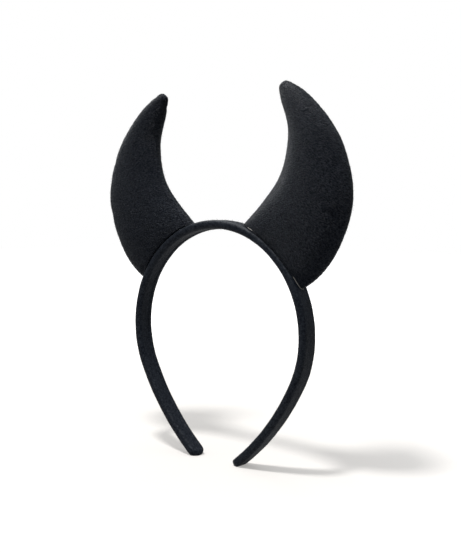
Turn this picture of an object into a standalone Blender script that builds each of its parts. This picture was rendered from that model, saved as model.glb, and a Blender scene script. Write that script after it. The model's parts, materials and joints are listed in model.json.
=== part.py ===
"""Devil horns headband: a felt-wrapped band that carries two stuffed felt horns.

The band stands on its two tips. X runs from the left horn to the right horn, Y from front to back,
and Z up, with the origin on the floor midway between the tips. Sizes are in millimetres and become
metres where the meshes are made.
"""

import math
from collections import namedtuple

import bmesh
import bpy
import numpy as np

MM = 0.001

# The band: half of its centre line is three arcs that run from the crown down to a tip.
Arc = namedtuple("Arc", "radius sweep")
BAND_ARCS = (
    Arc(radius=57.3, sweep=51.3),
    Arc(radius=53.6, sweep=65.5),
    Arc(radius=132.8, sweep=25.9),
)
CROWN_HEIGHT = 124.7
BAND_WIDTH = 10.5
BAND_THICK = 4.5
EDGE_ROUND = 1.7
TIP_ROUND_LENGTH = 4.7
TIP_ROUND_DEPTH = 2.2
TAPER_LENGTH = 60.0
TAPER = 0.11
STATION_STEP = 3.6
TIP_STATIONS = (0.1, 0.5, 1.1, 2.0, 3.2, 4.7)

# The horns: each section runs from the concave inner edge to the convex outer edge.
SEAT_START = 16.8
SEAT_END = 63.6
SEAT_GAP = 0.3
PANEL_GAP = 0.3
HornRow = namedtuple("HornRow", "share inner_x inner_z outer_x outer_z half_thick")
HORN_ROWS = (
    HornRow(0.15, 31.2, 137.5, 68.4, 106.1, 9.9),
    HornRow(0.35, 41.7, 151.2, 79.9, 132.1, 11.8),
    HornRow(0.58, 45.3, 170.3, 75.4, 160.2, 10.4),
    HornRow(0.80, 40.8, 185.6, 60.2, 182.0, 7.3),
    HornRow(1.00, 39.1, 191.2, 43.0, 194.4, 3.1),
)
BASE_HALF_THICK = 5.5
HORN_SECTIONS = 24
SECTION_POINTS = 13
TIP_CLOSING = 25.0
TIP_SECTIONS = 3
LENS_POWER = 0.58
BASE_ROUNDNESS = 3.0
BASE_BLEND = 0.22
SADDLE_REACH = 0.5

FELT_COLOUR = (0.010, 0.011, 0.014, 1.0)
FELT_ROUGHNESS = 0.95


def clear_scene():
    """Remove every object that the new file starts with."""
    for obj in list(bpy.data.objects):
        bpy.data.objects.remove(obj, do_unlink=True)


def felt(name):
    """Dull black felt."""
    material = bpy.data.materials.new(name)
    material.use_nodes = True
    shader = material.node_tree.nodes["Principled BSDF"]
    shader.inputs["Base Color"].default_value = FELT_COLOUR
    shader.inputs["Roughness"].default_value = FELT_ROUGHNESS
    shader.inputs["Metallic"].default_value = 0.0
    return material


def add_part(name, bm, collection):
    """Turn a mesh in millimetres into a named, smooth-shaded object in metres."""
    bmesh.ops.recalc_face_normals(bm, faces=bm.faces)
    bmesh.ops.scale(bm, vec=(MM, MM, MM), verts=bm.verts)
    mesh = bpy.data.meshes.new(name)
    bm.to_mesh(mesh)
    bm.free()
    mesh.shade_smooth()
    mesh.set_sharp_from_angle(angle=math.radians(35.0))
    mesh.materials.append(felt(name + "_felt"))
    obj = bpy.data.objects.new(name, mesh)
    collection.objects.link(obj)
    return obj


def band_half_length():
    """Length of the band's centre line from the crown to one tip."""
    return sum(arc.radius * math.radians(arc.sweep) for arc in BAND_ARCS)


def centre_line(distance):
    """Centre and outward normal (x, z) of the band, at a signed distance from the crown."""
    side = math.copysign(1.0, distance)
    left = abs(distance)
    x = 0.0
    z = CROWN_HEIGHT
    heading = 0.0
    for arc in BAND_ARCS:
        turn = min(left / arc.radius, math.radians(arc.sweep))
        x += arc.radius * (math.sin(heading + turn) - math.sin(heading))
        z += arc.radius * (math.cos(heading + turn) - math.cos(heading))
        heading += turn
        left -= arc.radius * turn
    return np.array([side * x, z]), np.array([side * math.sin(heading), math.cos(heading)])


def rounded_section():
    """Outline of the band's section as (depth, width) pairs, on a rounded rectangle."""
    points = []
    straight_depth = BAND_THICK / 2 - EDGE_ROUND
    straight_width = BAND_WIDTH / 2 - EDGE_ROUND
    for corner in range(4):
        for step in range(4):
            angle = math.radians(90.0 * corner + 30.0 * step)
            quarter = math.radians(90.0 * corner + 45.0)
            depth = math.copysign(straight_depth, math.cos(quarter)) + EDGE_ROUND * math.cos(angle)
            width = math.copysign(straight_width, math.sin(quarter)) + EDGE_ROUND * math.sin(angle)
            points.append((depth, width))
    return points


def rounding(rest, length):
    """Share of the full size left at a distance from an end that is rounded as an ellipse."""
    if rest >= length:
        return 1.0
    return math.sqrt(1.0 - (1.0 - rest / length) ** 2)


def band_stations():
    """Signed distances of the band's sections, close together at the tips."""
    half = band_half_length()
    inner = half - TIP_STATIONS[-1]
    count = math.ceil(2 * inner / STATION_STEP)
    middle = np.linspace(-inner, inner, count + 1)
    ends = [half - rest for rest in TIP_STATIONS[:-1]]
    return [-d for d in ends] + list(middle) + ends[::-1]


def make_headband(collection):
    """The wrapped band: a rounded section along the arcs, flattened where its tips stand."""
    half = band_half_length()
    bm = bmesh.new()
    rings = []
    for distance in band_stations():
        centre, normal = centre_line(distance)
        rest = half - abs(distance)
        taper = 1.0 - TAPER * max(0.0, 1.0 - rest / TAPER_LENGTH)
        wide = taper * rounding(rest, TIP_ROUND_LENGTH)
        deep = rounding(rest, TIP_ROUND_DEPTH)
        ring = []
        for depth, width in rounded_section():
            point = centre + normal * depth * deep
            ring.append(bm.verts.new((point[0], width * wide, point[1])))
        rings.append(ring)
    for ring, following in zip(rings, rings[1:]):
        for k in range(len(ring)):
            after = (k + 1) % len(ring)
            bm.faces.new((ring[k], ring[after], following[after], following[k]))
    bm.faces.new(rings[0])
    bm.faces.new(rings[-1])
    everything = bm.verts[:] + bm.edges[:] + bm.faces[:]
    cut = bmesh.ops.bisect_plane(
        bm, geom=everything, plane_co=(0, 0, 0), plane_no=(0, 0, -1), clear_outer=True)
    edges = [item for item in cut["geom_cut"] if isinstance(item, bmesh.types.BMEdge)]
    bmesh.ops.holes_fill(bm, edges=edges, sides=0)
    return add_part("headband", bm, collection)


def seat_point(distance):
    """Point just outside the band's outer face, at a distance from the crown."""
    centre, normal = centre_line(distance)
    return centre + normal * (BAND_THICK / 2 + SEAT_GAP)


def horn_table():
    """Shares, edge points and half thickness of the horn's rows, with the seat as first row."""
    inner = seat_point(SEAT_START)
    outer = seat_point(SEAT_END)
    base = HornRow(0.0, inner[0], inner[1], outer[0], outer[1], BASE_HALF_THICK)
    return np.array([base] + list(HORN_ROWS))


def smooth_row(table, share):
    """Row of the table at any share, on cubic curves that pass through its rows."""
    shares = table[:, 0]
    slopes = np.gradient(table[:, 1:], shares, axis=0, edge_order=2)
    k = int(np.clip(np.searchsorted(shares, share, side="right") - 1, 0, len(shares) - 2))
    span = shares[k + 1] - shares[k]
    t = (share - shares[k]) / span
    start = table[k, 1:] * (2 * t**3 - 3 * t**2 + 1) + slopes[k] * span * (t**3 - 2 * t**2 + t)
    end = table[k + 1, 1:] * (3 * t**2 - 2 * t**3) + slopes[k + 1] * span * (t**3 - t**2)
    return start + end


def bulge(across, share):
    """Swell of a panel across its width: rounded off at the seat, a lens further up."""
    lens = max(0.0, 1.0 - across**2) ** LENS_POWER
    seat = max(0.0, 1.0 - abs(across) ** BASE_ROUNDNESS) ** 0.5
    blend = max(0.0, 1.0 - share / BASE_BLEND) ** 1.5
    return lens * (1.0 - blend) + seat * blend


def horn_rings():
    """Sections of the horn at +X: for each, points (x, z) and how far the felt swells there."""
    table = horn_table()
    crosses = [-math.cos(math.pi * k / (SECTION_POINTS - 1)) for k in range(SECTION_POINTS)]
    inner_seat = seat_point(SEAT_START)
    outer_seat = seat_point(SEAT_END)
    rings = []
    for share in np.linspace(0.0, 1.0, HORN_SECTIONS):
        row = smooth_row(table, share)
        reach = max(0.0, 1.0 - share / SADDLE_REACH) ** 2
        ring = []
        for across in crosses:
            mix = (across + 1.0) / 2.0
            on_band = seat_point(SEAT_START + (SEAT_END - SEAT_START) * mix)
            saddle = on_band - (inner_seat * (1.0 - mix) + outer_seat * mix)
            point = row[0:2] * (1.0 - mix) + row[2:4] * mix + saddle * reach
            ring.append((point[0], point[1], row[4] * bulge(across, share)))
        rings.append(ring)
    row = smooth_row(table, 1.0)
    middle = (row[0:2] + row[2:4]) / 2
    radius_line = (row[2:4] - row[0:2]) / 2
    forward = np.array([-radius_line[1], radius_line[0]])
    closing = math.radians(TIP_CLOSING)
    for turn in np.linspace(closing, math.pi / 2, TIP_SECTIONS + 2)[1:-1]:
        size = math.cos(turn) / math.cos(closing)
        centre = middle + forward * (math.sin(turn) - math.sin(closing)) / math.cos(closing)
        ring = []
        for across in crosses:
            point = centre + radius_line * across * size
            ring.append((point[0], point[1], row[4] * size * bulge(across, 1.0)))
        rings.append(ring)
    tip = middle + forward * (1.0 - math.sin(closing)) / math.cos(closing)
    return rings, tip


def make_horn_panel(name, side, facing, collection):
    """One felt panel with its share of the stuffing, flat at the seam that halves the horn."""
    rings, tip = horn_rings()
    seam = facing * PANEL_GAP / 2
    bm = bmesh.new()

    def vertex(x, z, swell):
        return bm.verts.new((side * x, seam + facing * swell, z))

    grid = [[vertex(x, z, swell) for x, z, swell in ring] for ring in rings]
    apex = vertex(tip[0], tip[1], 0.0)
    last = SECTION_POINTS - 1
    for ring, following in zip(grid, grid[1:]):
        for k in range(last):
            bm.faces.new((ring[k], ring[k + 1], following[k + 1], following[k]))
    for k in range(last):
        bm.faces.new((grid[-1][k], grid[-1][k + 1], apex))
    seat = [vertex(x, z, 0.0) for x, z, _ in rings[0][1:last]]
    seat = [grid[0][0]] + seat + [grid[0][last]]
    for k in range(last):
        corners = [grid[0][k], seat[k], seat[k + 1], grid[0][k + 1]]
        bm.faces.new(list(dict.fromkeys(corners)))
    inner_edge = [ring[0] for ring in grid]
    outer_edge = [ring[last] for ring in grid]
    bm.faces.new(inner_edge + [apex] + outer_edge[::-1] + seat[last - 1:0:-1])
    return add_part(name, bm, collection)


def main():
    clear_scene()
    collection = bpy.data.collections.new("devil_horns_headband")
    bpy.context.scene.collection.children.link(collection)
    make_headband(collection)
    for side_name, side in (("right", 1.0), ("left", -1.0)):
        for face_name, facing in (("front", -1.0), ("back", 1.0)):
            make_horn_panel(f"horn_{side_name}_{face_name}", side, facing, collection)


main()
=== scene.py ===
# %% [markdown]
# # Devil horns headband in black felt
#
# The object is a springy hair band wrapped in soft black felt, with two stuffed felt horns
# fastened on its outer face. It is black on black, so nearly all that the eye gets is relief and
# shine: the grain and short wrinkles of the horns' felt, the soft light where a surface faces a
# lamp, the seams that pull the edge in, and a few loose fibres.
#
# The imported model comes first. It fixes where every piece is, and nothing below moves it.

# %% Load the frame
import json
import math
from collections import namedtuple

import bmesh
import bpy
import numpy as np
from mathutils import Matrix, Vector

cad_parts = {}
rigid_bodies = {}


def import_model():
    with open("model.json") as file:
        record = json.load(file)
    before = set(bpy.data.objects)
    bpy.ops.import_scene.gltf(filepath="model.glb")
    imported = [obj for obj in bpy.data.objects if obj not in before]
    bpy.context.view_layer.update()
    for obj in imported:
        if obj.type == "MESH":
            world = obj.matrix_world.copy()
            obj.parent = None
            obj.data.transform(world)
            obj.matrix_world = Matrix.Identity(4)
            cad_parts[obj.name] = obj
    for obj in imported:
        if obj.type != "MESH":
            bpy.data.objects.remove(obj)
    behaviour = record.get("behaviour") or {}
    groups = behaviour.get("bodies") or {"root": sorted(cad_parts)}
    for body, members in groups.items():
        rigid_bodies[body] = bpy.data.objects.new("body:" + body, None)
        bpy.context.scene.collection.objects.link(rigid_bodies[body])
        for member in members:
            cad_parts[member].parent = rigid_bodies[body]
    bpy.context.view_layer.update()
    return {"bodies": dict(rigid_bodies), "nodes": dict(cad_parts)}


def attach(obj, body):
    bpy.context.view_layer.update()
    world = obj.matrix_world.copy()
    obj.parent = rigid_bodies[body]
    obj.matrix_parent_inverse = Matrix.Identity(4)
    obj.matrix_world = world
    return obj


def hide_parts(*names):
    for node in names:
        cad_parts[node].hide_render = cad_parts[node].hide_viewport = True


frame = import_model()
MM = 0.001
print("nodes:", sorted(frame["nodes"]))

# %% [markdown]
# ## Camera
#
# The photograph looks at the band from about forty degrees to its right and almost level, so both
# the inner face of the far leg and the outer face of the near leg show. A camera is placed by its
# direction, distance and the height that it looks at. Its lens is given as a focal length in
# pixels of the photograph, because that is what a fitted camera measures, and it is turned into
# millimetres for a 36 mm sensor on the long side.

# %% Camera
PHOTO_LONG_SIDE = 553
FOCAL_PIXELS = 826.7
SENSOR_MM = 36.0
VIEW_AZIMUTH = math.radians(40.0)
VIEW_ELEVATION = math.radians(3.61)
VIEW_ROLL = math.radians(0.34)
VIEW_DISTANCE = 433.1 * MM
AIM_HEIGHT = 97.45 * MM
AIM_RIGHT = 6.23 * MM

back = Vector((
    math.sin(VIEW_AZIMUTH) * math.cos(VIEW_ELEVATION),
    -math.cos(VIEW_AZIMUTH) * math.cos(VIEW_ELEVATION),
    math.sin(VIEW_ELEVATION)))
level_right = Vector((math.cos(VIEW_AZIMUTH), math.sin(VIEW_AZIMUTH), 0.0))
level_up = back.cross(level_right)
view_right = math.cos(VIEW_ROLL) * level_right + math.sin(VIEW_ROLL) * level_up
view_up = back.cross(view_right)

camera_data = bpy.data.cameras.new("camera")
camera_data.sensor_width = SENSOR_MM
camera_data.lens = FOCAL_PIXELS / PHOTO_LONG_SIDE * SENSOR_MM
camera_data.clip_start = 0.01
camera = bpy.data.objects.new("camera", camera_data)
bpy.context.scene.collection.objects.link(camera)
turn = Matrix((view_right, view_up, back)).transposed().to_4x4()
place = Vector((0.0, 0.0, AIM_HEIGHT)) + back * VIEW_DISTANCE + level_right * AIM_RIGHT
camera.matrix_world = Matrix.Translation(place) @ turn
bpy.context.scene.camera = camera
print("lens in mm:", round(camera_data.lens, 1))

# %% [markdown]
# ## Helpers for node trees
#
# Shader trees and geometry trees are both built here node by node. A few short helpers keep that
# readable: two of them do arithmetic, one makes a geometry tree with named inputs, one gives it
# its ending, and one puts it on an object and keeps what it makes as a plain mesh. Blender stores
# a modifier's input under its socket's identifier and not its name, so the last one looks the
# identifiers up.

# %% Helpers for node trees
def add_node(tree, kind, inputs=None, **settings):
    """Add a node. An input's value may be a plain value or another node's output socket."""
    made = tree.nodes.new(kind)
    for name, value in settings.items():
        setattr(made, name, value)
    for key, value in (inputs or {}).items():
        if isinstance(value, bpy.types.NodeSocket):
            tree.links.new(value, made.inputs[key])
        else:
            made.inputs[key].default_value = value
    return made


def calc(tree, operation, *values):
    """Output of a Math node."""
    made = add_node(tree, "ShaderNodeMath", dict(enumerate(values)), operation=operation)
    return made.outputs[0]


def vector_calc(tree, operation, *values):
    """Vector output of a Vector Math node."""
    made = add_node(tree, "ShaderNodeVectorMath", operation=operation)
    for k, value in enumerate(values):
        socket = made.inputs["Scale"] if operation == "SCALE" and k == 1 else made.inputs[k]
        if isinstance(value, bpy.types.NodeSocket):
            tree.links.new(value, socket)
        else:
            socket.default_value = value
    return made.outputs[0]


def geometry_tree(name, numbers, materials=("Material",)):
    """A geometry tree with a Geometry input and output, number inputs and material inputs."""
    tree = bpy.data.node_groups.new(name, "GeometryNodeTree")
    face = tree.interface
    face.new_socket("Geometry", in_out="INPUT", socket_type="NodeSocketGeometry")
    for label, value in numbers.items():
        kind = "NodeSocketInt" if isinstance(value, int) else "NodeSocketFloat"
        socket = face.new_socket(label, in_out="INPUT", socket_type=kind)
        socket.default_value = value
    for label in materials:
        face.new_socket(label, in_out="INPUT", socket_type="NodeSocketMaterial")
    face.new_socket("Geometry", in_out="OUTPUT", socket_type="NodeSocketGeometry")
    return tree, add_node(tree, "NodeGroupInput"), add_node(tree, "NodeGroupOutput")


def end_tree(tree, result, geometry, material):
    """Make instances real, give the mesh its material and send it out of the tree."""
    real = add_node(tree, "GeometryNodeRealizeInstances", {"Geometry": geometry})
    finished = add_node(tree, "GeometryNodeSetMaterial", {
        "Geometry": real.outputs[0], "Material": material})
    tree.links.new(finished.outputs[0], result.inputs[0])


def run_tree(obj, tree, values):
    """Put the tree on the object and return its result as a plain mesh object of the same name."""
    modifier = obj.modifiers.new(tree.name, "NODES")
    modifier.node_group = tree
    for item in tree.interface.items_tree:
        if item.item_type == "SOCKET" and item.in_out == "INPUT" and item.name in values:
            modifier[item.identifier] = values[item.name]
    return bake(obj)


def bake(obj):
    """The evaluated shape of an object as a new plain mesh object, in place of the old one."""
    graph = bpy.context.evaluated_depsgraph_get()
    graph.update()
    mesh = bpy.data.meshes.new_from_object(obj.evaluated_get(graph))
    name = obj.name
    bpy.data.objects.remove(obj, do_unlink=True)
    return new_object(name, mesh)


def new_object(name, mesh):
    """Link a mesh to the scene under a name that the mesh takes too."""
    mesh.name = name
    made = bpy.data.objects.new(name, mesh)
    bpy.context.scene.collection.objects.link(made)
    return made


print("helpers ready")

# %% [markdown]
# ## Felt
#
# Felt has no weave. Its look comes from matted fibres: lighter ones that lie on top and catch the
# light, and dark pits between them. One shader node group gives both felts that grain. It reads a
# position, mixes a coarse and a fine noise, and puts out a height for the bump, a colour, a tint
# for the shine and a roughness, so the same fibres are higher, lighter and shinier. The horns'
# grain reads each point's place on its felt panel, in millimetres. That place is squeezed along
# the horn, so the grain runs across it. The band's grain reads Object coordinates, in metres, so
# its scales are larger numbers. The strength of the shine is a plain number on each material's
# own shader, so that it survives an export.
# The colour follows the same height as the bump. Besides the felt's random grain tone, this is
# painted light on the raised fibres and painted shade in the pits, and the shine in the pits is
# turned down as painted shade.

# %% Felt grain group
# The dark end of the grain colour and the low shine are painted shade in the pits; the light end is
# painted light on the raised fibres.
PIT_LEVEL = 0.40
FIBRE_LEVEL = 0.62
PIT_SHADED_SHINE = (0.08, 0.08, 0.08, 1.0)
SMOOTHEST = 0.40
ROUGHEST = 0.50


def make_grain_group():
    """Shader group that turns a position into the height, colour, shine and roughness of felt."""
    group = bpy.data.node_groups.new("felt_grain", "ShaderNodeTree")
    face = group.interface
    face.new_socket("Vector", in_out="INPUT", socket_type="NodeSocketVector")
    for label, value in (("Coarse Scale", 700.0), ("Fine Scale", 2600.0), ("Fine Share", 0.4)):
        socket = face.new_socket(label, in_out="INPUT", socket_type="NodeSocketFloat")
        socket.default_value = value
    for label in ("Dark", "Light", "Shine"):
        face.new_socket(label, in_out="INPUT", socket_type="NodeSocketColor")
    face.new_socket("Height", in_out="OUTPUT", socket_type="NodeSocketFloat")
    face.new_socket("Color", in_out="OUTPUT", socket_type="NodeSocketColor")
    face.new_socket("Shine", in_out="OUTPUT", socket_type="NodeSocketColor")
    face.new_socket("Roughness", in_out="OUTPUT", socket_type="NodeSocketFloat")
    start = add_node(group, "NodeGroupInput")
    end = add_node(group, "NodeGroupOutput")
    coarse = add_node(group, "ShaderNodeTexNoise", {
        "Vector": start.outputs["Vector"], "Scale": start.outputs["Coarse Scale"],
        "Detail": 2.0, "Roughness": 0.5, "Distortion": 0.5})
    fine = add_node(group, "ShaderNodeTexNoise", {
        "Vector": start.outputs["Vector"], "Scale": start.outputs["Fine Scale"],
        "Detail": 2.0, "Roughness": 0.7})
    height = add_node(group, "ShaderNodeMix", {
        0: start.outputs["Fine Share"], 2: coarse.outputs[0], 3: fine.outputs[0]})
    contrast = add_node(group, "ShaderNodeMapRange", {
        "Value": height.outputs[0], "From Min": PIT_LEVEL, "From Max": FIBRE_LEVEL})
    # Colour keyed to the height: random grain tone, plus painted light on raised fibres and painted
    # shade in pits.
    tint = add_node(group, "ShaderNodeMix", {
        0: contrast.outputs[0], 6: start.outputs["Dark"], 7: start.outputs["Light"]},
        data_type="RGBA")
    # Shine turned down in the pits: painted shade on the reflection.
    shine = add_node(group, "ShaderNodeMix", {
        0: contrast.outputs[0], 6: PIT_SHADED_SHINE, 7: start.outputs["Shine"]},
        data_type="RGBA")
    rough = add_node(group, "ShaderNodeMapRange", {
        "Value": fine.outputs[0], "To Min": SMOOTHEST, "To Max": ROUGHEST})
    group.links.new(height.outputs[0], end.inputs["Height"])
    group.links.new(tint.outputs[2], end.inputs["Color"])
    group.links.new(shine.outputs[2], end.inputs["Shine"])
    group.links.new(rough.outputs[0], end.inputs["Roughness"])
    return group


grain_group = make_grain_group()
print("grain group outputs:", [item.name for item in grain_group.interface.items_tree
                               if item.in_out == "OUTPUT"])

# %% Felt materials
FeltLook = namedtuple("FeltLook", "dark light squeeze coarse fine share bump")
HORN_FELT = FeltLook(
    dark=(0.0046, 0.0068, 0.0122, 1.0), light=(0.0160, 0.0204, 0.0310, 1.0),
    squeeze=(2.1, 1.0, 1.0), coarse=1.0, fine=3.5, share=0.2, bump=1.0)
BAND_FELT = FeltLook(
    dark=(0.0056, 0.0078, 0.0125, 1.0), light=(0.0165, 0.0208, 0.0300, 1.0),
    squeeze=(1.0, 1.0, 1.0), coarse=900.0, fine=3200.0, share=0.5, bump=0.25)
BUMP_DEPTH = 0.0024
FELT_SHINE = 0.34
FELT_SHINE_TINT = (0.94, 0.97, 1.0, 1.0)
THREAD_NOISE_SCALE = 900.0
THREAD_DARK_SHARE = 0.6


def make_felt(name, look, attribute=None):
    """A felt material. It reads the named attribute, or Object coordinates if there is none."""
    material = bpy.data.materials.new(name)
    material.use_nodes = True
    tree = material.node_tree
    shader = tree.nodes["Principled BSDF"]
    if attribute:
        where = add_node(tree, "ShaderNodeAttribute", attribute_name=attribute).outputs["Vector"]
    else:
        where = add_node(tree, "ShaderNodeTexCoord").outputs["Object"]
    grain = add_node(tree, "ShaderNodeGroup", node_tree=grain_group)
    squeezed = add_node(tree, "ShaderNodeVectorMath", {0: where, 1: look.squeeze},
                        operation="MULTIPLY")
    tree.links.new(squeezed.outputs["Vector"], grain.inputs["Vector"])
    values = (("Coarse Scale", look.coarse), ("Fine Scale", look.fine),
              ("Fine Share", look.share), ("Dark", look.dark), ("Light", look.light),
              ("Shine", FELT_SHINE_TINT))
    for label, value in values:
        grain.inputs[label].default_value = value
    bump = add_node(tree, "ShaderNodeBump", {
        "Strength": look.bump, "Distance": BUMP_DEPTH, "Height": grain.outputs["Height"]})
    tree.links.new(grain.outputs["Color"], shader.inputs["Base Color"])
    tree.links.new(grain.outputs["Shine"], shader.inputs["Specular Tint"])
    tree.links.new(grain.outputs["Roughness"], shader.inputs["Roughness"])
    tree.links.new(bump.outputs["Normal"], shader.inputs["Normal"])
    shader.inputs["Specular IOR Level"].default_value = FELT_SHINE
    return material


def make_thread(name, colour, roughness, sheen):
    """Thread or loose fibre: one colour that varies a little along its length."""
    material = bpy.data.materials.new(name)
    material.use_nodes = True
    tree = material.node_tree
    shader = tree.nodes["Principled BSDF"]
    where = add_node(tree, "ShaderNodeTexCoord").outputs["Object"]
    noise = add_node(tree, "ShaderNodeTexNoise", {
        "Vector": where, "Scale": THREAD_NOISE_SCALE})
    darker = tuple(THREAD_DARK_SHARE * c for c in colour) + (1.0,)
    tint = add_node(tree, "ShaderNodeMix", {
        0: noise.outputs[0], 6: darker, 7: tuple(colour) + (1.0,)}, data_type="RGBA")
    tree.links.new(tint.outputs[2], shader.inputs["Base Color"])
    shader.inputs["Roughness"].default_value = roughness
    shader.inputs["Sheen Weight"].default_value = sheen
    return material


horn_felt = make_felt("horn_felt", HORN_FELT, attribute="felt_place")
band_felt = make_felt("band_felt", BAND_FELT)
black_thread = make_thread("black_thread", (0.012, 0.013, 0.016), 0.7, 0.1)
felt_fibre = make_thread("felt_fibre", (0.012, 0.014, 0.018), 0.8, 0.0)
pale_thread = make_thread("pale_thread", (0.42, 0.40, 0.37), 0.5, 0.0)
print("materials:", [material.name for material in (
    horn_felt, band_felt, black_thread, felt_fibre, pale_thread)])

# %% [markdown]
# ## The line that the band follows
#
# A hair band is sprung from a straight strip, so its side view is a few arcs that run smoothly
# into each other: a wide one over the crown, a tighter one at each shoulder, and a slack one down
# each leg. The same arcs carry the horns' seats. The sizes are those of the imported solid.

# %% Centre line of the band
Arc = namedtuple("Arc", "radius sweep")
BAND_ARCS = (
    Arc(radius=57.3, sweep=51.3),
    Arc(radius=53.6, sweep=65.5),
    Arc(radius=132.8, sweep=25.9),
)
CROWN_HEIGHT = 124.7
BAND_WIDTH = 10.5
BAND_THICK = 4.5
HALF_LENGTH = sum(arc.radius * math.radians(arc.sweep) for arc in BAND_ARCS)


def centre_line(distance):
    """Centre and outward normal (x, z) of the band, at a signed distance from the crown."""
    side = math.copysign(1.0, distance)
    left = abs(distance)
    x = 0.0
    z = CROWN_HEIGHT
    heading = 0.0
    for arc in BAND_ARCS:
        bend = min(left / arc.radius, math.radians(arc.sweep))
        x += arc.radius * (math.sin(heading + bend) - math.sin(heading))
        z += arc.radius * (math.cos(heading + bend) - math.cos(heading))
        heading += bend
        left -= arc.radius * bend
    return np.array([side * x, z]), np.array([side * math.sin(heading), math.cos(heading)])


widest = max(centre_line(d)[0][0] for d in np.linspace(0.0, HALF_LENGTH, 200))
print("band length in mm:", round(2 * HALF_LENGTH, 1))

# %% [markdown]
# ## The wrapped band
#
# On the real band a felt strip is folded round a thin stiff core and glued shut on the inside, so
# one edge of the felt lies over the other as a low step. A Geometry Nodes tree makes the whole
# wrap: it starts from a flat grid whose one side runs along the band and whose other side runs
# round it, and lays each point by sampling two curves, the centre line and a rounded rectangle.
# That gives even, small faces to carry the dents of the felt, and the step of the wrap, the taper
# and the round tips are all named numbers. The felt is pressed flat where the tips stand.

# %% Nodes for the felt of the band
WANDER_SCALE = 45.0
WANDER_DEPTH = 0.7 * MM
LAP_EDGE = 0.3 * MM
LAP_FADE = 2.6 * MM
DITCH_PLACE = 0.6 * MM
DITCH_SPREAD = 0.5 * MM
DITCH_SHARE = 0.6
BAND_DENT_SCALE = 90.0
BAND_MOTTLE_SCALE = 750.0
WELD_DISTANCE = 0.02 * MM


def ease_to_end(tree, rest, length):
    """Share of the full size left at a distance from an end rounded as an ellipse, as nodes."""
    ratio = calc(tree, "MINIMUM", calc(tree, "DIVIDE", rest, length), 1.0)
    gone = calc(tree, "POWER", calc(tree, "SUBTRACT", 1.0, ratio), 2.0)
    return calc(tree, "SQRT", calc(tree, "SUBTRACT", 1.0, gone))


def felt_noise(tree, vector, scale, depth):
    """Noise from -depth to +depth, to dent a felt surface."""
    noise = add_node(tree, "ShaderNodeTexNoise", {
        "Vector": vector, "Scale": scale, "Detail": 2.0, "Roughness": 0.6})
    centred = calc(tree, "SUBTRACT", noise.outputs[0], 0.5)
    return calc(tree, "MULTIPLY", centred, calc(tree, "MULTIPLY", depth, 2.0))


def lap_height(tree, value, where, width, depth):
    """Height of the felt's lapped edge on the band's inner face, less the ditch beside it."""
    wander = felt_noise(tree, where, WANDER_SCALE, WANDER_DEPTH)
    past = calc(tree, "SUBTRACT", calc(tree, "SUBTRACT", width, value["Seam Place"]), wander)
    edge = add_node(tree, "ShaderNodeMapRange", {
        "Value": past, "From Min": -LAP_EDGE, "From Max": LAP_EDGE},
        interpolation_type="SMOOTHSTEP")
    fade = add_node(tree, "ShaderNodeMapRange", {
        "Value": past, "From Min": LAP_EDGE, "From Max": LAP_FADE, "To Min": 1.0, "To Max": 0.0})
    inner = calc(tree, "LESS_THAN", depth, 0.0)
    step = calc(tree, "MULTIPLY", calc(tree, "MULTIPLY", edge.outputs[0], fade.outputs[0]), inner)
    step = calc(tree, "MULTIPLY", step, value["Seam Step"])
    from_ditch = calc(tree, "DIVIDE", calc(tree, "ADD", past, DITCH_PLACE), DITCH_SPREAD)
    hollow = calc(tree, "EXPONENT", calc(tree, "MULTIPLY", -1.0, calc(
        tree, "POWER", from_ditch, 2.0)))
    ditch = calc(tree, "MULTIPLY", inner, calc(tree, "MULTIPLY", value["Seam Step"], hollow))
    return calc(tree, "SUBTRACT", step, calc(tree, "MULTIPLY", ditch, DITCH_SHARE))


def dent_and_press(tree, value, geometry):
    """Dent the felt along its normals, and press it flat where it stands on the floor."""
    here = add_node(tree, "GeometryNodeInputPosition").outputs[0]
    normal = add_node(tree, "GeometryNodeInputNormal").outputs[0]
    dents = calc(tree, "ADD", felt_noise(tree, here, BAND_DENT_SCALE, value["Dent"]),
                 felt_noise(tree, here, BAND_MOTTLE_SCALE, value["Mottle"]))
    dented = add_node(tree, "GeometryNodeSetPosition", {
        "Geometry": geometry, "Offset": vector_calc(tree, "SCALE", normal, dents)})
    after = add_node(tree, "ShaderNodeSeparateXYZ", {0: here})
    pressed = add_node(tree, "ShaderNodeCombineXYZ", {
        0: after.outputs[0], 1: after.outputs[1],
        2: calc(tree, "MAXIMUM", after.outputs[2], 0.0)})
    standing = add_node(tree, "GeometryNodeSetPosition", {
        "Geometry": dented.outputs[0], "Position": pressed.outputs[0]})
    return standing.outputs[0]


print("lapped edge in mm, rise and fade:", LAP_EDGE / MM, LAP_FADE / MM)

# %% Band tree
TIP_CROWDING = 0.55


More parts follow.
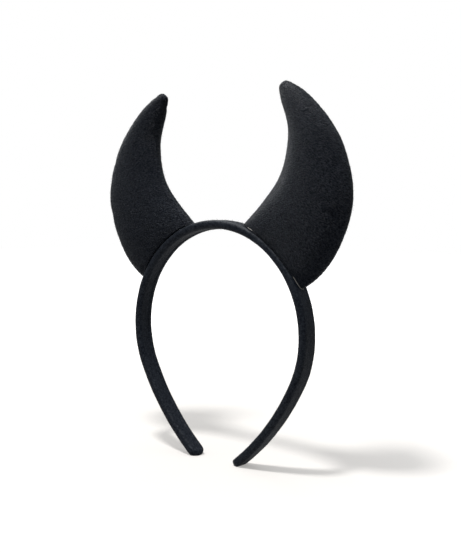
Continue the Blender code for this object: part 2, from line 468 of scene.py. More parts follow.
def make_band_tree(along, around):
    """Sweep of a rounded rectangle along the incoming line, with a wrap seam on its inner face."""
    tree, given, result = geometry_tree("felt_band", {
        "Width": 0.0, "Thickness": 0.0, "Edge Round": 0.0, "Length": 0.0, "Taper": 0.0,
        "Taper Length": 0.0, "Tip Length": 0.0, "Tip Depth": 0.0, "Seam Place": 0.0,
        "Seam Step": 0.0, "Dent": 0.0, "Mottle": 0.0})
    value = given.outputs
    grid = add_node(tree, "GeometryNodeMeshGrid", {
        "Size X": 1.0, "Size Y": 1.0, "Vertices X": along, "Vertices Y": around})
    place = add_node(tree, "ShaderNodeSeparateXYZ", {0: add_node(
        tree, "GeometryNodeInputPosition").outputs[0]})
    u_even = calc(tree, "ADD", place.outputs[0], 0.5)
    wave = calc(tree, "SINE", calc(tree, "MULTIPLY", u_even, 2.0 * math.pi))
    u = calc(tree, "SUBTRACT", u_even, calc(
        tree, "MULTIPLY", wave, TIP_CROWDING / (2.0 * math.pi)))
    v = calc(tree, "ADD", place.outputs[1], 0.5)
    line = add_node(tree, "GeometryNodeMeshToCurve", {"Mesh": value["Geometry"]})
    on_line = add_node(tree, "GeometryNodeSampleCurve", {
        "Curves": line.outputs[0], "Factor": u}, mode="FACTOR")
    outline = add_node(tree, "GeometryNodeCurvePrimitiveQuadrilateral", {
        "Width": value["Width"], "Height": value["Thickness"]}, mode="RECTANGLE")
    rounded = add_node(tree, "GeometryNodeFilletCurve", {
        "Curve": outline.outputs[0], "Radius": value["Edge Round"], "Count": 8}, mode="POLY")
    on_outline = add_node(tree, "GeometryNodeSampleCurve", {
        "Curves": rounded.outputs[0], "Factor": v}, mode="FACTOR")
    flat = add_node(tree, "ShaderNodeSeparateXYZ", {0: on_outline.outputs["Position"]})
    width = flat.outputs[0]
    depth = flat.outputs[1]

    nearer = calc(tree, "MINIMUM", u, calc(tree, "SUBTRACT", 1.0, u))
    rest = calc(tree, "MULTIPLY", nearer, value["Length"])
    slim = calc(tree, "SUBTRACT", 1.0, calc(tree, "MINIMUM", calc(
        tree, "DIVIDE", rest, value["Taper Length"]), 1.0))
    taper = calc(tree, "SUBTRACT", 1.0, calc(tree, "MULTIPLY", slim, value["Taper"]))
    wide = calc(tree, "MULTIPLY", taper, ease_to_end(tree, rest, value["Tip Length"]))
    deep = ease_to_end(tree, rest, value["Tip Depth"])

    raised = lap_height(tree, value, on_line.outputs["Position"], width, depth)
    across = add_node(tree, "ShaderNodeCombineXYZ", {0: 0.0, 1: 1.0, 2: 0.0}).outputs[0]
    outward = vector_calc(tree, "CROSS_PRODUCT", on_line.outputs["Tangent"], across)
    lift = calc(tree, "SUBTRACT", calc(tree, "MULTIPLY", depth, deep), raised)
    sideways = vector_calc(tree, "SCALE", across, calc(tree, "MULTIPLY", width, wide))
    from_line = vector_calc(tree, "ADD", vector_calc(tree, "SCALE", outward, lift), sideways)
    point = vector_calc(tree, "ADD", on_line.outputs["Position"], from_line)
    laid = add_node(tree, "GeometryNodeSetPosition", {
        "Geometry": grid.outputs[0], "Position": point})
    closed = add_node(tree, "GeometryNodeMergeByDistance", {
        "Geometry": laid.outputs[0], "Distance": WELD_DISTANCE})
    standing = dent_and_press(tree, value, closed.outputs[0])
    smooth = add_node(tree, "GeometryNodeSetShadeSmooth", {"Geometry": standing})
    end_tree(tree, result, smooth.outputs[0], value["Material"])
    return tree


# %% Make the band
LINE_POINTS = 400
GRID_ALONG = 820
GRID_AROUND = 57


def line_object(name, points):
    """An object that holds only a line of vertices and edges, for a tree to follow."""
    mesh = bpy.data.meshes.new(name)
    edges = [(k, k + 1) for k in range(len(points) - 1)]
    mesh.from_pydata([tuple(p) for p in points], edges, [])
    return new_object(name, mesh)


def make_band():
    """The wrapped band as one closed mesh."""
    distances = np.linspace(-HALF_LENGTH, HALF_LENGTH, LINE_POINTS)
    centres = [centre_line(d)[0] * MM for d in distances]
    line = line_object("band_cover", [(x, 0.0, z) for x, z in centres])
    band = run_tree(line, make_band_tree(GRID_ALONG, GRID_AROUND), {
        "Width": BAND_WIDTH * MM, "Thickness": BAND_THICK * MM, "Edge Round": 1.9 * MM,
        "Length": 2 * HALF_LENGTH * MM, "Taper": 0.11, "Taper Length": 60 * MM,
        "Tip Length": 4.7 * MM, "Tip Depth": 2.2 * MM, "Seam Place": 2.2 * MM,
        "Seam Step": 0.3 * MM, "Dent": 0.16 * MM, "Mottle": 0.07 * MM,
        "Material": band_felt})
    bm = bmesh.new()
    bm.from_mesh(band.data)
    bmesh.ops.recalc_face_normals(bm, faces=bm.faces)
    open_edges = sum(1 for e in bm.edges if not e.is_manifold)
    bm.to_mesh(band.data)
    bm.free()
    print("band faces:", len(band.data.polygons), "open edges:", open_edges)
    return band


band = make_band()

# %% [markdown]
# ## The stuffed horns
#
# Each horn is two crescents of felt, sewn together round the edge, turned inside out and stuffed.
# The stuffing makes every section a lens, and the seam keeps the edge pulled in. The horn is
# lofted through a short table of sections, then treated as what it is: cloth that is pinned at
# its seam and its seat and blown up a little from inside. The cloth solver is tuned for things
# the size of people, so the horn is made ten times larger for the twenty steps that it takes,
# and how far a point may move is capped so that the outline stays the real one. The table gives
# the two edges and half the thickness, in millimetres, at a share of the way to the tip.

# %% Horn sections
HornRow = namedtuple("HornRow", "share inner_x inner_z outer_x outer_z half_thick")
HORN_ROWS = (
    HornRow(0.15, 31.2, 137.5, 68.4, 106.1, 9.9),
    HornRow(0.35, 41.7, 151.2, 79.9, 132.1, 11.8),
    HornRow(0.58, 45.3, 170.3, 75.4, 160.2, 10.4),
    HornRow(0.80, 40.8, 185.6, 60.2, 182.0, 7.3),
    HornRow(1.00, 39.1, 191.2, 43.0, 194.4, 3.1),
)
SEAT_START = 16.8
SEAT_END = 63.6
SEAT_CLEARANCE = 0.3
BASE_HALF_THICK = 5.5
BASE_ROUNDNESS = 3.0
LENS_POWER = 0.58
BASE_BLEND = 0.22
SADDLE_REACH = 0.5
SECTIONS = 104
PANEL_COLUMNS = 26
SEAT_ROWS = 6
TIP_CLOSING = 25.0
TIP_SECTIONS = 5
SEAM_TUCK = 0.35
SEAM_TUCK_SPREAD = 0.15
EDGE_SPREAD = 0.45
SLACK_SHARE = 0.94
HORN_LENGTH = 108.0
TipShift = namedtuple("TipShift", "outward up")
TIP_SHIFTS = {"right": TipShift(0.5, -0.6), "left": TipShift(-0.5, 1.1)}
TIP_SHIFT_START = 0.65


def seat_point(distance, clearance=SEAT_CLEARANCE):
    """Point just outside the band's outer face, at a distance from the crown."""
    centre, normal = centre_line(distance)
    return centre + normal * (BAND_THICK / 2 + clearance)


def curve_point(start, leave, end, arrive, t):
    """Point on the cubic curve from start to end, with its direction at either end."""
    return (start * (2 * t**3 - 3 * t**2 + 1) + leave * (t**3 - 2 * t**2 + t)
            + end * (3 * t**2 - 2 * t**3) + arrive * (t**3 - t**2))


def smooth_row(table, share):
    """Row of the table at any share, on cubic curves that pass through its rows."""
    shares = table[:, 0]
    slopes = np.gradient(table[:, 1:], shares, axis=0, edge_order=2)
    k = int(np.clip(np.searchsorted(shares, share, side="right") - 1, 0, len(shares) - 2))
    span = shares[k + 1] - shares[k]
    t = (share - shares[k]) / span
    return curve_point(table[k, 1:], slopes[k] * span, table[k + 1, 1:], slopes[k + 1] * span, t)


def bulge(across, share):
    """Swell of a panel across its width: rounded off at the seat, a lens further up."""
    lens = max(0.0, 1.0 - across**2) ** LENS_POWER
    seat = max(0.0, 1.0 - abs(across) ** BASE_ROUNDNESS) ** 0.5
    blend = max(0.0, 1.0 - share / BASE_BLEND) ** 1.5
    return lens * (1.0 - blend) + seat * blend


def horn_ring(middle, half, thick, share, along, scale=1.0):
    """One section of a horn at +X: points (x, z, swell, along, across) from edge to edge."""
    inner_seat = seat_point(SEAT_START)
    outer_seat = seat_point(SEAT_END)
    fall = max(0.0, 1.0 - share / SADDLE_REACH) ** 2
    size = np.linalg.norm(half)
    ring = []
    for angle in np.linspace(0.0, math.pi, PANEL_COLUMNS + 1):
        across = -math.cos(angle)
        mix = (across + 1.0) / 2
        on_band = seat_point(SEAT_START + (SEAT_END - SEAT_START) * mix)
        saddle = (on_band - inner_seat * (1 - mix) - outer_seat * mix) * fall
        from_seam = min(angle, math.pi - angle)
        tuck = SEAM_TUCK * math.exp(-(from_seam / SEAM_TUCK_SPREAD) ** 2)
        reach = across * scale * (1.0 + (EDGE_SPREAD - tuck) / size)
        point = middle + half * reach + saddle
        swell = SLACK_SHARE * thick * scale * bulge(across, share)
        ring.append((point[0], point[1], swell, along, across * scale * size))
    return ring


def horn_rings(shift):
    """All the sections of a horn at +X, and its tip, which is moved a little by the shift."""
    base = HornRow(0.0, *seat_point(SEAT_START), *seat_point(SEAT_END), BASE_HALF_THICK)
    table = np.array([base] + list(HORN_ROWS))
    rings = []
    for share in np.linspace(0.0, 1.0, SECTIONS):
        row = smooth_row(table, share)
        moved = max(0.0, (share - TIP_SHIFT_START) / (1.0 - TIP_SHIFT_START)) ** 2
        middle = (row[0:2] + row[2:4]) / 2 + np.array(shift) * moved
        half = (row[2:4] - row[0:2]) / 2
        rings.append(horn_ring(middle, half, row[4], share, share * HORN_LENGTH))
    forward = np.array([-half[1], half[0]])
    closing = math.radians(TIP_CLOSING)
    for bend in np.linspace(closing, math.pi / 2, TIP_SECTIONS + 2)[1:]:
        ahead = (math.sin(bend) - math.sin(closing)) / math.cos(closing)
        spot = middle + forward * ahead
        along = HORN_LENGTH + np.linalg.norm(forward) * ahead
        if bend < math.pi / 2:
            scale = math.cos(bend) / math.cos(closing)
            rings.append(horn_ring(spot, half, row[4], 1.0, along, scale))
    return rings, (spot[0], spot[1], along)


horn_shapes = {side_name: horn_rings(shift) for side_name, shift in TIP_SHIFTS.items()}
for side_name, (rings, tip) in horn_shapes.items():
    print(side_name, "sections:", len(rings), "tip at x, z in mm:", np.round(tip[:2], 1))

# %% [markdown]
# The loft becomes one closed mesh: the two panels share the seam's vertices, and a few rows close
# the mouth of the horn over the band. Every vertex also gets its place on the felt, in
# millimetres along and across the panel, as an attribute. The wrinkles and the grain read that
# place later, so they follow the panel round every curve.

# %% Horn mesh
SEAT_CREASE = 0.6
SEAM_CREASE = 0.5
GRAIN_OFFSET = 40.0


def make_horn_mesh(name, side, rings, tip):
    """Closed mesh of one horn, creased along its seam and round its seat."""
    bm = bmesh.new()
    place = bm.verts.layers.float_vector.new("felt_place")
    pinned = bm.verts.layers.float.new("pinned")
    crease = bm.edges.layers.float.new("crease_edge")

    def vertex(x, y, z, along, across, pin):
        made = bm.verts.new((side * x * MM, y * MM, z * MM))
        made[place] = (along, across, y + GRAIN_OFFSET * side)
        made[pinned] = pin
        return made

    last = PANEL_COLUMNS
    front, behind = [], []
    for number, ring in enumerate(rings):
        near, far = [], []
        for k, (x, z, swell, along, across) in enumerate(ring):
            on_seam = k in (0, last)
            pin = 1.0 if on_seam or number == 0 else 0.0
            near.append(vertex(x, -swell if not on_seam else 0.0, z, along, across, pin))
            far.append(near[-1] if on_seam else vertex(x, swell, z, along, across, pin))
        front.append(near)
        behind.append(far)
    apex = vertex(tip[0], 0.0, tip[1], tip[2], 0.0, 1.0)
    for panel in (front, behind):
        for ring, following in zip(panel, panel[1:]):
            for k in range(last):
                bm.faces.new((ring[k], ring[k + 1], following[k + 1], following[k]))
        for k in range(last):
            bm.faces.new((panel[-1][k], panel[-1][k + 1], apex))
    seat = [front[0]]
    for step in range(1, SEAT_ROWS):
        mix = step / SEAT_ROWS
        row = [front[0][0]]
        for k in range(1, last):
            x, z, swell, along, across = rings[0][k]
            row.append(vertex(x, swell * (2 * mix - 1), z, along - swell, across, 1.0))
        seat.append(row + [front[0][last]])
    seat.append(behind[0])
    for row, following in zip(seat, seat[1:]):
        for k in range(last):
            corners = [row[k], row[k + 1], following[k + 1], following[k]]
            bm.faces.new(list(dict.fromkeys(corners)))
    rim = set(front[0] + behind[0])
    for edge in bm.edges:
        if rim.issuperset(edge.verts):
            edge[crease] = SEAT_CREASE
    for k in (0, last):
        for ring, following in zip(front, front[1:]):
            bm.edges.get((ring[k], following[k]))[crease] = SEAM_CREASE
    bmesh.ops.recalc_face_normals(bm, faces=bm.faces)
    print(name, "open edges:", sum(1 for e in bm.edges if not e.is_manifold))
    mesh = bpy.data.meshes.new(name)
    bm.to_mesh(mesh)
    bm.free()
    return new_object(name, mesh)


SIDES = {"right": 1.0, "left": -1.0}
horns = {side_name: make_horn_mesh("horn_" + side_name, side, *horn_shapes[side_name])
         for side_name, side in SIDES.items()}

# %% Stuff the horns
SIM_SCALE = 10.0
SIM_FRAMES = 20
STUFFING_PRESSURE = 4.0
CLOTH_QUALITY = 6
CLOTH_MASS = 0.3
CLOTH_BENDING = 2.0
FELT_SPARE = -0.01
MOST_MOVE_SHARE = 0.07


def vertex_positions(mesh):
    """All the mesh's vertices as rows of x, y, z."""
    flat = np.zeros(len(mesh.vertices) * 3)
    mesh.vertices.foreach_get("co", flat)
    return flat.reshape(-1, 3)


def stuff(horn):
    """Blow the horn up a little as cloth that is held at its seam and seat."""
    mesh = horn.data
    start = vertex_positions(mesh)
    held = horn.vertex_groups.new(name="held")
    for k, item in enumerate(mesh.attributes["pinned"].data):
        if item.value > 0.5:
            held.add([k], 1.0, "REPLACE")
    mesh.transform(Matrix.Scale(SIM_SCALE, 4))
    cloth = horn.modifiers.new("cloth", "CLOTH")
    cloth.settings.quality = CLOTH_QUALITY
    cloth.settings.mass = CLOTH_MASS
    cloth.settings.bending_stiffness = CLOTH_BENDING
    cloth.settings.use_pressure = True
    cloth.settings.uniform_pressure_force = STUFFING_PRESSURE
    cloth.settings.shrink_min = FELT_SPARE
    cloth.settings.vertex_group_mass = held.name
    cloth.settings.effector_weights.gravity = 0.0
    cloth.collision_settings.use_collision = False
    cloth.point_cache.frame_start = 1
    cloth.point_cache.frame_end = SIM_FRAMES
    scene = bpy.context.scene
    for number in range(1, SIM_FRAMES + 1):
        scene.frame_set(number)
    graph = bpy.context.evaluated_depsgraph_get()
    swollen = vertex_positions(horn.evaluated_get(graph).data) / SIM_SCALE
    horn.modifiers.remove(cloth)
    scene.frame_set(1)
    move = swollen - start
    far = np.linalg.norm(move, axis=1)
    most = MOST_MOVE_SHARE * np.abs(start[:, 1])
    keep = np.minimum(1.0, most / np.maximum(far, 1e-9))
    mesh.vertices.foreach_set("co", (start + move * keep[:, None]).ravel())
    mesh.update()
    horn.vertex_groups.clear()
    print(horn.name, "moved by up to", round(far.max() / MM, 2), "mm, mean",
          round(far.mean() / MM, 2), "mm")


for horn in horns.values():
    stuff(horn)

# %% [markdown]
# ## Wrinkled felt
#
# The horns' felt has short, shallow wrinkles that run across the horn, a little over a millimetre
# apart, and the stitches of the seam gather it into small puckers. Both are real relief here and
# not only shading: two levels of subdivision give faces of about a third of a millimetre, and a
# Geometry Nodes tree moves the points along their normals. The wrinkles are a noise that reads
# the place on the felt, squeezed along the horn so that its blobs become short ridges.

# %% Wrinkle tree
HORN_DENT_SCALE = 55.0
STITCH_PITCH = 2.6


def make_wrinkle_tree():
    """Short ridges, broad dents and seam puckers, moved along the normals."""
    tree, given, result = geometry_tree("felt_wrinkles", {
        "Wrinkle Depth": 0.0, "Wrinkle Pitch": 0.0, "Wrinkle Length": 0.0, "Dent": 0.0,
        "Pucker Depth": 0.0, "Stitch Pitch": 0.0, "Pucker Reach": 0.0})
    value = given.outputs
    place = add_node(tree, "GeometryNodeInputNamedAttribute", {"Name": "felt_place"},
                     data_type="FLOAT_VECTOR").outputs[0]
    parts = add_node(tree, "ShaderNodeSeparateXYZ", {0: place})
    squeezed = add_node(tree, "ShaderNodeCombineXYZ", {
        0: calc(tree, "DIVIDE", parts.outputs[0], value["Wrinkle Pitch"]),
        1: calc(tree, "DIVIDE", parts.outputs[1], value["Wrinkle Length"]),
        2: calc(tree, "DIVIDE", parts.outputs[2], value["Wrinkle Length"])}).outputs[0]
    here = add_node(tree, "GeometryNodeInputPosition").outputs[0]
    away = calc(tree, "ABSOLUTE", add_node(tree, "ShaderNodeSeparateXYZ", {0: here}).outputs[1])
    wrinkles = felt_noise(tree, squeezed, 1.0, value["Wrinkle Depth"])
    dents = felt_noise(tree, here, HORN_DENT_SCALE, value["Dent"])
    beat = calc(tree, "COSINE", calc(tree, "MULTIPLY", 2.0 * math.pi, calc(
        tree, "DIVIDE", parts.outputs[0], value["Stitch Pitch"])))
    fade = calc(tree, "EXPONENT", calc(tree, "MULTIPLY", -1.0, calc(
        tree, "DIVIDE", away, value["Pucker Reach"])))
    pucker = calc(tree, "MULTIPLY", calc(tree, "MULTIPLY", beat, fade), value["Pucker Depth"])
    total = calc(tree, "ADD", calc(tree, "ADD", wrinkles, dents), pucker)
    normal = add_node(tree, "GeometryNodeInputNormal").outputs[0]
    moved = add_node(tree, "GeometryNodeSetPosition", {
        "Geometry": value["Geometry"], "Offset": vector_calc(tree, "SCALE", normal, total)})
    smooth = add_node(tree, "GeometryNodeSetShadeSmooth", {"Geometry": moved.outputs[0]})
    end_tree(tree, result, smooth.outputs[0], value["Material"])
    return tree


wrinkle_tree = make_wrinkle_tree()
for side_name, horn in horns.items():
    refine = horn.modifiers.new("refine", "SUBSURF")
    refine.levels = 2
    refine.render_levels = 2
    horns[side_name] = run_tree(horn, wrinkle_tree, {
        "Wrinkle Depth": 0.16 * MM, "Wrinkle Pitch": 1.3, "Wrinkle Length": 2.2,
        "Dent": 0.2 * MM, "Pucker Depth": 0.08 * MM, "Stitch Pitch": STITCH_PITCH,
        "Pucker Reach": 2.0 * MM, "Material": horn_felt})
    print(side_name, "horn faces:", len(horns[side_name].data.polygons))

# %% [markdown]
# ## Seam thread and loose fibres
#
# The rest is small and repeats. The seam thread shows between the panels as short bars across the
# furrow, one at each stitch, so a tree walks along the seam's line and sets a bar at each pitch.
# Felt also sheds: a few short fibres stand off the surface, most of them lying nearly flat. A
# second tree scatters one bent, tapered fibre over a piece and turns each copy at random.

# %% Stitch and fibre shapes
def tube_mesh(name, points, radii, sides):
    """Closed tube through points, with a radius at each, in metres."""
    bm = bmesh.new()
    points = [Vector(p) for p in points]
    loops = []
    for k, point in enumerate(points):
        ahead = points[min(k + 1, len(points) - 1)] - points[max(k - 1, 0)]
        turn = ahead.to_track_quat("Z", "X")
        loop = []
        for step in range(sides):
            angle = 2 * math.pi * step / sides
            offset = Vector((math.cos(angle), math.sin(angle), 0.0)) * radii[k]
            loop.append(bm.verts.new(point + turn @ offset))
        loops.append(loop)
    for loop, following in zip(loops, loops[1:]):
        for step in range(sides):
            after = (step + 1) % sides
            bm.faces.new((loop[step], loop[after], following[after], following[step]))
    bm.faces.new(loops[0][::-1])
    bm.faces.new(loops[-1])
    bmesh.ops.recalc_face_normals(bm, faces=bm.faces)
    mesh = bpy.data.meshes.new(name)
    bm.to_mesh(mesh)
    bm.free()
    mesh.shade_smooth()
    return mesh


SeedRow = namedtuple("SeedRow", "x y z radius")
BAR_ROWS = (
    SeedRow(0.0, -0.55, -0.2, 0.10),
    SeedRow(0.0, -0.275, 0.03, 0.13),
    SeedRow(0.0, 0.0, 0.08, 0.13),
    SeedRow(0.0, 0.275, 0.03, 0.13),
    SeedRow(0.0, 0.55, -0.2, 0.10),
)
FIBRE_ROWS = (
    SeedRow(0.0, 0.0, -0.1, 0.028),
    SeedRow(0.05, 0.0, 0.35, 0.024),
    SeedRow(0.28, 0.05, 0.7, 0.018),
    SeedRow(0.7, 0.0, 0.9, 0.008),
)
BAR_SIDES = 6
FIBRE_SIDES = 3


def seed_object(name, rows, sides):
    """A small tube that only a tree uses. It is removed once the trees have run."""
    points = [(row.x * MM, row.y * MM, row.z * MM) for row in rows]
    made = new_object(name, tube_mesh(name, points, [row.radius * MM for row in rows], sides))
    made.hide_render = True
    return made


bar_seed = seed_object("bar_seed", BAR_ROWS, BAR_SIDES)
fibre_seed = seed_object("fibre_seed", FIBRE_ROWS, FIBRE_SIDES)
print("fibre faces:", len(fibre_seed.data.polygons), "bar faces:", len(bar_seed.data.polygons))

# %% Stitch tree
SEAM_NEARNESS = 0.6 * MM


def make_stitch_tree():
    """A bar across the seam at each stitch, a little uneven in size."""
    tree, given, result = geometry_tree("seam_thread", {"Pitch": 0.0, "Unevenness": 0.0,
                                                        "Seed": 3})
    value = given.outputs
    line = add_node(tree, "GeometryNodeMeshToCurve", {"Mesh": value["Geometry"]})
    spots = add_node(tree, "GeometryNodeCurveToPoints", {
        "Curve": line.outputs[0], "Length": value["Pitch"]}, mode="LENGTH")
    outward = add_node(tree, "GeometryNodeInputNamedAttribute", {"Name": "outward"},
                       data_type="FLOAT_VECTOR").outputs[0]
    upright = add_node(tree, "FunctionNodeAlignRotationToVector", {
        "Vector": outward}, axis="Z", pivot_axis="AUTO")
    along = add_node(tree, "FunctionNodeAlignRotationToVector", {
        "Rotation": upright.outputs[0], "Vector": spots.outputs["Tangent"]},
        axis="X", pivot_axis="Z")
    size = add_node(tree, "FunctionNodeRandomValue", {
        2: calc(tree, "SUBTRACT", 1.0, value["Unevenness"]),
        3: calc(tree, "ADD", 1.0, value["Unevenness"]), "Seed": value["Seed"]})
    shape = add_node(tree, "GeometryNodeObjectInfo", {"Object": bar_seed})
    copies = add_node(tree, "GeometryNodeInstanceOnPoints", {
        "Points": spots.outputs["Points"], "Instance": shape.outputs["Geometry"],
        "Rotation": along.outputs[0], "Scale": size.outputs[1]})
    end_tree(tree, result, copies.outputs[0], value["Material"])
    return tree


def seam_line(horn, side, rings, tip):
    """Points on the finished seam with their outward directions, both edges, tip included."""
    mesh = horn.data
    spots = vertex_positions(mesh)
    normals = np.zeros(len(mesh.vertices) * 3)
    mesh.vertices.foreach_get("normal", normals)
    normals = normals.reshape(-1, 3)
    near = np.abs(spots[:, 1]) < SEAM_NEARNESS
    ends = []
    for k in (0, PANEL_COLUMNS):
        edge = [(side * ring[k][0] * MM, ring[k][1] * MM) for ring in rings]
        ends.append(edge)
    path = ends[0] + [(side * tip[0] * MM, tip[1] * MM)] + ends[1][::-1]
    points, outward = [], []
    for x, z in path:
        gap = np.where(near, (spots[:, 0] - x) ** 2 + (spots[:, 2] - z) ** 2, np.inf)
        k = int(np.argmin(gap))
        points.append((spots[k, 0], 0.0, spots[k, 2]))
        outward.append((normals[k, 0], 0.0, normals[k, 2]))
    return points, outward


stitch_tree = make_stitch_tree()
threads = {}
for side_name, side in SIDES.items():
    points, outward = seam_line(horns[side_name], side, *horn_shapes[side_name])
    line = line_object("seam_thread_" + side_name, points)
    layer = line.data.attributes.new("outward", "FLOAT_VECTOR", "POINT")
    layer.data.foreach_set("vector", np.array(outward).ravel())
    threads[side_name] = run_tree(line, stitch_tree, {
        "Pitch": STITCH_PITCH * MM, "Unevenness": 0.15, "Seed": 3, "Material": black_thread})
    print(side_name, "seam thread faces:", len(threads[side_name].data.polygons))

# %% Fibre tree
HORN_FIBRES = 450000.0
BAND_FIBRES = 350000.0
SIZE_SEED_STEP = 5.0


def make_fibre_tree():
    """Bent fibres scattered over a mesh, so many to the square metre."""
    tree, given, result = geometry_tree("loose_fibres", {
        "Density": 0.0, "Lean": 0.0, "Shortest": 0.0, "Longest": 0.0, "Floor Gap": 0.0,
        "Seed": 1})
    value = given.outputs
    here = add_node(tree, "GeometryNodeInputPosition").outputs[0]
    height = add_node(tree, "ShaderNodeSeparateXYZ", {0: here}).outputs[2]
    clear = calc(tree, "GREATER_THAN", height, value["Floor Gap"])
    spots = add_node(tree, "GeometryNodeDistributePointsOnFaces", {
        "Mesh": value["Geometry"], "Density": calc(tree, "MULTIPLY", value["Density"], clear),
        "Seed": value["Seed"]})
    lean = value["Lean"]
    minus = calc(tree, "MULTIPLY", lean, -1.0)
    tilt = add_node(tree, "FunctionNodeRandomValue", {
        0: add_node(tree, "ShaderNodeCombineXYZ", {0: minus, 1: minus, 2: -math.pi}).outputs[0],
        1: add_node(tree, "ShaderNodeCombineXYZ", {0: lean, 1: lean, 2: math.pi}).outputs[0],
        "Seed": value["Seed"]}, data_type="FLOAT_VECTOR")
    turned = add_node(tree, "FunctionNodeRotateRotation", {
        "Rotation": spots.outputs["Rotation"],
        "Rotate By": add_node(tree, "FunctionNodeEulerToRotation", {
            0: tilt.outputs[0]}).outputs[0]}, rotation_space="LOCAL")
    size = add_node(tree, "FunctionNodeRandomValue", {
        2: value["Shortest"], 3: value["Longest"],
        "Seed": calc(tree, "ADD", value["Seed"], SIZE_SEED_STEP)})
    shape = add_node(tree, "GeometryNodeObjectInfo", {"Object": fibre_seed})
    copies = add_node(tree, "GeometryNodeInstanceOnPoints", {
        "Points": spots.outputs["Points"], "Instance": shape.outputs["Geometry"],
        "Rotation": turned.outputs[0], "Scale": size.outputs[1]})
    end_tree(tree, result, copies.outputs[0], value["Material"])
    return tree


fibre_tree = make_fibre_tree()


def make_fibres(name, source, density, seed):
    """Loose fibres over a finished piece, as a mesh of their own."""
    copy = new_object(name, source.data.copy())
    made = run_tree(copy, fibre_tree, {
        "Density": density, "Lean": 1.1, "Shortest": 0.35, "Longest": 1.0,
        "Floor Gap": 1.5 * MM, "Seed": seed, "Material": felt_fibre})
    print(name, "faces:", len(made.data.polygons))
    return made


fibres = [
    make_fibres("fibres_horn_right", horns["right"], HORN_FIBRES, 11),
    make_fibres("fibres_horn_left", horns["left"], HORN_FIBRES, 12),
    make_fibres("fibres_band", band, BAND_FIBRES, 13),
]
for seed in (bar_seed, fibre_seed):
    bpy.data.objects.remove(seed, do_unlink=True)

# %% [markdown]
# ## Two pale thread ends
#
# Where the near horn is fastened, two bits of pale thread catch the light at the front rim of its
# base: a short one at the upper corner and a hooked one round the lower corner. They follow the
# rim, so their points are given as a distance along the band, a place across it and a clearance
# over its outer face, and a smooth curve runs through them.

# %% Pale thread ends
ThreadPoint = namedtuple("ThreadPoint", "distance across clearance")
UPPER_END = (
    ThreadPoint(22.4, -4.5, 0.75), ThreadPoint(24.1, -4.9, 0.8), ThreadPoint(25.9, -5.2, 0.75))
LOWER_END = (
    ThreadPoint(57.8, -4.9, 1.3), ThreadPoint(59.2, -4.4, 1.15), ThreadPoint(60.6, -3.8, 1.0),
    ThreadPoint(61.9, -3.0, 0.8), ThreadPoint(63.0, -2.0, 0.55), ThreadPoint(63.7, -0.9, 0.4),
    ThreadPoint(64.0, 0.2, 0.9))
UPPER_RADIUS = 0.20 * MM
LOWER_RADIUS = 0.17 * MM
THREAD_STEPS = 8
THREAD_SIDES = 8


def thread_end(name, points, radius):
    """Thin closed tube through the points, on a smooth curve."""
    spots = []
    for point in points:
        x, z = seat_point(point.distance, point.clearance) * MM
        spots.append(Vector((x, point.across * MM, z)))
    path = []
    for k in range(len(spots) - 1):
        before = spots[max(k - 1, 0)]
        after = spots[min(k + 2, len(spots) - 1)]
        for step in range(THREAD_STEPS):
            t = step / THREAD_STEPS
            leave = (spots[k + 1] - before) * 0.5
            arrive = (after - spots[k]) * 0.5
            path.append(curve_point(spots[k], leave, spots[k + 1], arrive, t))
    path.append(spots[-1])
    radii = [radius * (0.75 + 0.25 * math.sin(math.pi * k / (len(path) - 1)))
             for k in range(len(path))]
    made = new_object(name, tube_mesh(name, path, radii, THREAD_SIDES))
    made.data.materials.append(pale_thread)
    return made


thread_ends = [thread_end("thread_end_upper", UPPER_END, UPPER_RADIUS),
               thread_end("thread_end_lower", LOWER_END, LOWER_RADIUS)]
print("thread ends:", [o.name for o in thread_ends])

# %% [markdown]
# ## Tell the frame what each piece is
#
# There are no joints, so every piece rides on the one body. The dressed band and horns stand for
# the plain solids, which stay for collision only.

# %% Frame calls
body = next(iter(frame["bodies"]))
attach(band, body)
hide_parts("headband")
for side_name, horn in horns.items():
    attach(horn, body)
    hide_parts(f"horn_{side_name}_front", f"horn_{side_name}_back")
    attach(threads[side_name], body)
for piece in fibres:
    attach(piece, body)
for piece in thread_ends:
    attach(piece, body)
print("body:", body)

# %% [markdown]
# ## Floor and light
#
# The photograph is a bright studio shot: white all round, with one clear soft shadow. Traced back
# from the shadow of each tip and horn, the lamp that casts it hangs about three quarters of a
# metre over the floor and a little in front. It is a small disc, so the shadow is crisp at the
# tips of the band and soft under the horns. A wide lamp on the left fills it in a little, and two
# more that cast no shadow light the tips and inner edges of the horns. The floor is white where
# the lamps light it. Further out it glows, because lamps this near leave the rest of a real floor
# grey, but it glows for the camera alone. For the light that reaches the felt it is a dull grey,
# so the black stays black. The world too is white to the camera and a dim light to the rest.

# %% Floor
FLOOR_HALF = 3.0
BRIGHT_SPOT = (-0.10, -0.05, 0.0)
LIT_RADIUS = 0.08
GLOW_RADIUS = 0.70
FLOOR_SEEN = (0.865, 0.835, 0.800, 1.0)
FLOOR_BOUNCE = 0.34


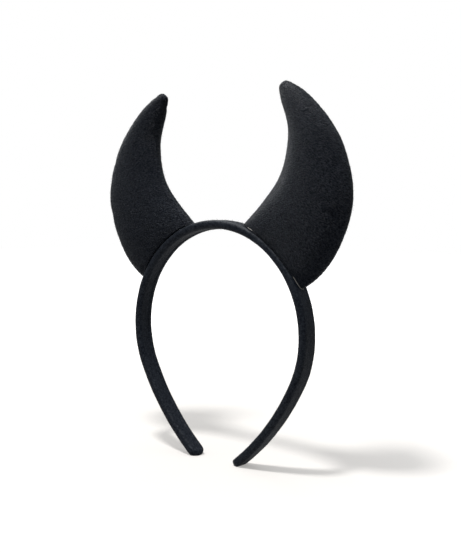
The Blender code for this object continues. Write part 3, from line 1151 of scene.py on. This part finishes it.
def make_floor():
    """White to the camera and a dull grey to the light that bounces off it."""
    mesh = bpy.data.meshes.new("floor")
    corners = [(-FLOOR_HALF, -FLOOR_HALF, 0), (FLOOR_HALF, -FLOOR_HALF, 0),
               (FLOOR_HALF, FLOOR_HALF, 0), (-FLOOR_HALF, FLOOR_HALF, 0)]
    mesh.from_pydata(corners, [], [(0, 1, 2, 3)])
    floor = new_object("floor", mesh)
    material = bpy.data.materials.new("floor_white")
    material.use_nodes = True
    tree = material.node_tree
    shader = tree.nodes["Principled BSDF"]
    seen = add_node(tree, "ShaderNodeLightPath").outputs["Is Camera Ray"]
    where = add_node(tree, "ShaderNodeTexCoord").outputs["Object"]
    radius = add_node(tree, "ShaderNodeVectorMath", {0: where, 1: BRIGHT_SPOT},
                      operation="DISTANCE").outputs["Value"]
    glow = add_node(tree, "ShaderNodeMapRange", {
        "Value": radius, "From Min": LIT_RADIUS, "From Max": GLOW_RADIUS,
        "To Min": 0.0, "To Max": 1.0}, interpolation_type="SMOOTHSTEP")
    seen_glow = add_node(tree, "ShaderNodeMath", {0: glow.outputs[0], 1: seen},
                         operation="MULTIPLY")
    white = add_node(tree, "ShaderNodeMix", {
        0: seen, 6: (FLOOR_BOUNCE,) * 3 + (1.0,), 7: FLOOR_SEEN},
        data_type="RGBA")
    shader.inputs["Roughness"].default_value = 0.9
    shader.inputs["Specular IOR Level"].default_value = 0.0
    shader.inputs["Emission Color"].default_value = (1.0, 1.0, 1.0, 1.0)
    tree.links.new(white.outputs[2], shader.inputs["Base Color"])
    tree.links.new(seen_glow.outputs[0], shader.inputs["Emission Strength"])
    floor.data.materials.append(material)
    return floor


floor = make_floor()
print("floor half size in m:", FLOOR_HALF)

# %% Light
SEEN_WHITE = (1.0, 1.0, 1.0, 1.0)
WORLD_LIGHT = (0.250, 0.262, 0.275, 1.0)
Lamp = namedtuple("Lamp", "position size watts shadow")
LAMPS = {
    "shadow_lamp": Lamp((0.008, -0.246, 0.733), 0.11, 3.1, True),
    "soft_lamp": Lamp((-0.65, -0.20, 0.75), 0.7, 1.0, True),
    "back_lamp": Lamp((-0.75, 0.35, 0.60), 0.6, 1.4, False),
    "high_lamp": Lamp((-0.25, 0.15, 0.95), 0.6, 3.8, False),
}
LAMPS_AIM = (0.0, 0.0, 0.08)


def make_world():
    """White to the camera and much dimmer as a light."""
    world = bpy.data.worlds.new("studio")
    world.use_nodes = True
    tree = world.node_tree
    background = tree.nodes["Background"]
    seen = add_node(tree, "ShaderNodeLightPath").outputs["Is Camera Ray"]
    colour = add_node(tree, "ShaderNodeMix", {0: seen, 6: WORLD_LIGHT, 7: SEEN_WHITE},
                      data_type="RGBA")
    tree.links.new(colour.outputs[2], background.inputs["Color"])
    bpy.context.scene.world = world


def area_light(name, lamp):
    """A round lamp that points at the middle of the object."""
    data = bpy.data.lights.new(name, "AREA")
    data.shape = "DISK"
    data.size = lamp.size
    data.energy = lamp.watts
    data.use_shadow = lamp.shadow
    light = bpy.data.objects.new(name, data)
    light.location = lamp.position
    aim = Vector(LAMPS_AIM) - Vector(lamp.position)
    light.rotation_euler = aim.to_track_quat("-Z", "Y").to_euler()
    bpy.context.scene.collection.objects.link(light)


make_world()
for name, lamp in LAMPS.items():
    area_light(name, lamp)
bpy.context.scene.view_settings.view_transform = "Standard"
print("lamps at, in m:", [lamp.position for lamp in LAMPS.values()])
